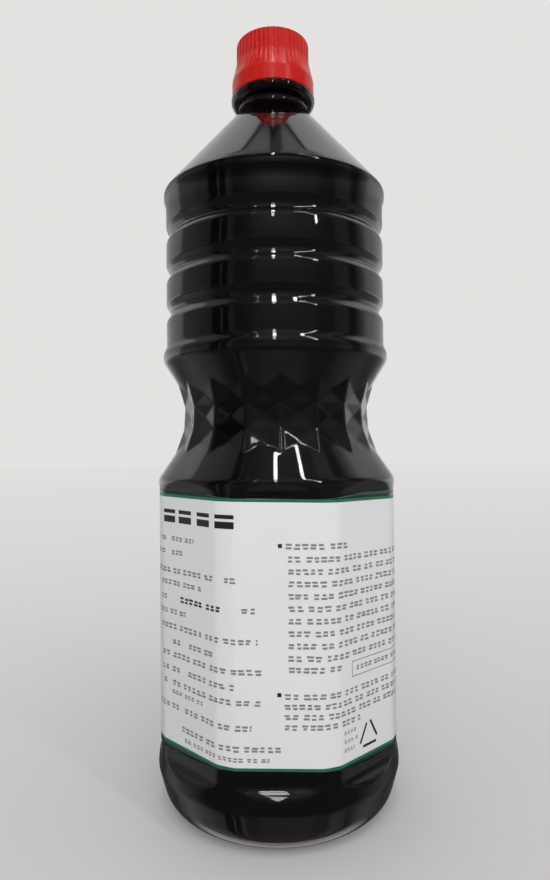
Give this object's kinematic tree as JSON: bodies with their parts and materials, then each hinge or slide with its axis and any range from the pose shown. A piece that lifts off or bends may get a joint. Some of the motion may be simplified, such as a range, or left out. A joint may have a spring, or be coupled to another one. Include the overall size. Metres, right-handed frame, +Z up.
{
  "type": "udon sauce bottle",
  "caption": "Tall clear PET bottle of dark noodle sauce with a ribbed top, a faceted grip waist, an eight-sided labelled body and a red screw cap.",
  "frame": {"origin": "centre of the standing ring, on the surface that the bottle stands on", "axes": "+Z up along the bottle's axis, -Y through the middle of the front label panel"},
  "size_m": [0.1032, 0.1032, 0.3283],
  "materials": {
    "clear_pet": "clear gloss",
    "dark_sauce": "gloss",
    "red_cap": "satin",
    "label_film": "satin"
  },
  "bodies": {
    "root": {"bottle": "clear_pet", "sauce": "dark_sauce", "cap": "red_cap", "label": "label_film"}
  },
  "joints": []
}
